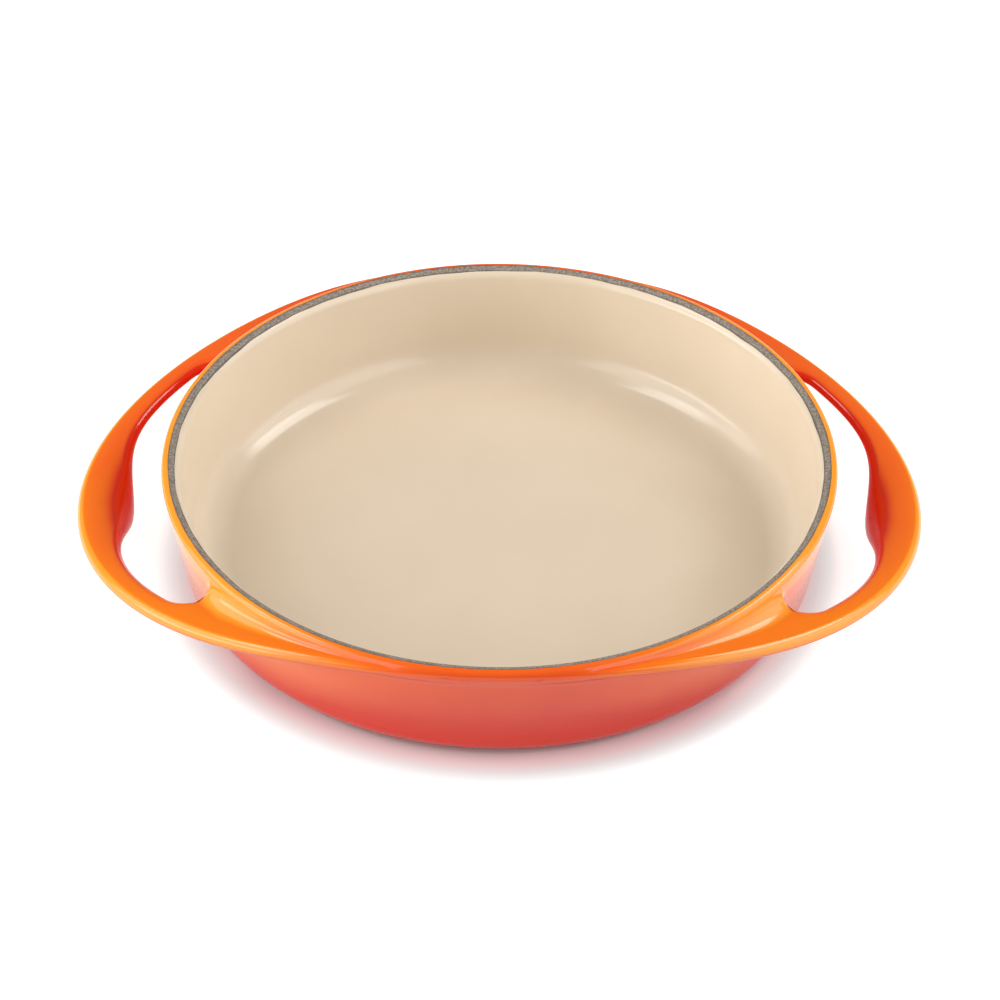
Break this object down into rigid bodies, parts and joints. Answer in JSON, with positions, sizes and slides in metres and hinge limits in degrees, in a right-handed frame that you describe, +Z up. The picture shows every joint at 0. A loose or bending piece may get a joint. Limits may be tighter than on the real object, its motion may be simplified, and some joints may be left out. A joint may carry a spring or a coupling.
{
  "type": "tarte tatin dish",
  "caption": "Shallow round enamelled cast-iron baking dish with a flange that widens into drooping loop handles.",
  "frame": {"origin": "on the table under the middle of the dish", "axes": "+X through the middle of one loop handle, +Z up out of the dish, +Y across it"},
  "size_m": [0.3272, 0.2608, 0.049],
  "materials": {
    "cast_iron": "as cast, hidden under the enamel",
    "orange_enamel": "gloss, shading from orange to red",
    "sand_enamel": "satin gloss",
    "ground_coat": "matt, finely pitted",
    "base_enamel": "semi-gloss"
  },
  "bodies": {
    "root": {"iron_casting": "cast_iron", "outer_enamel": "orange_enamel", "inner_enamel": "sand_enamel", "rim_enamel": "ground_coat", "foot_enamel": "ground_coat", "base_enamel": "base_enamel"}
  },
  "joints": []
}
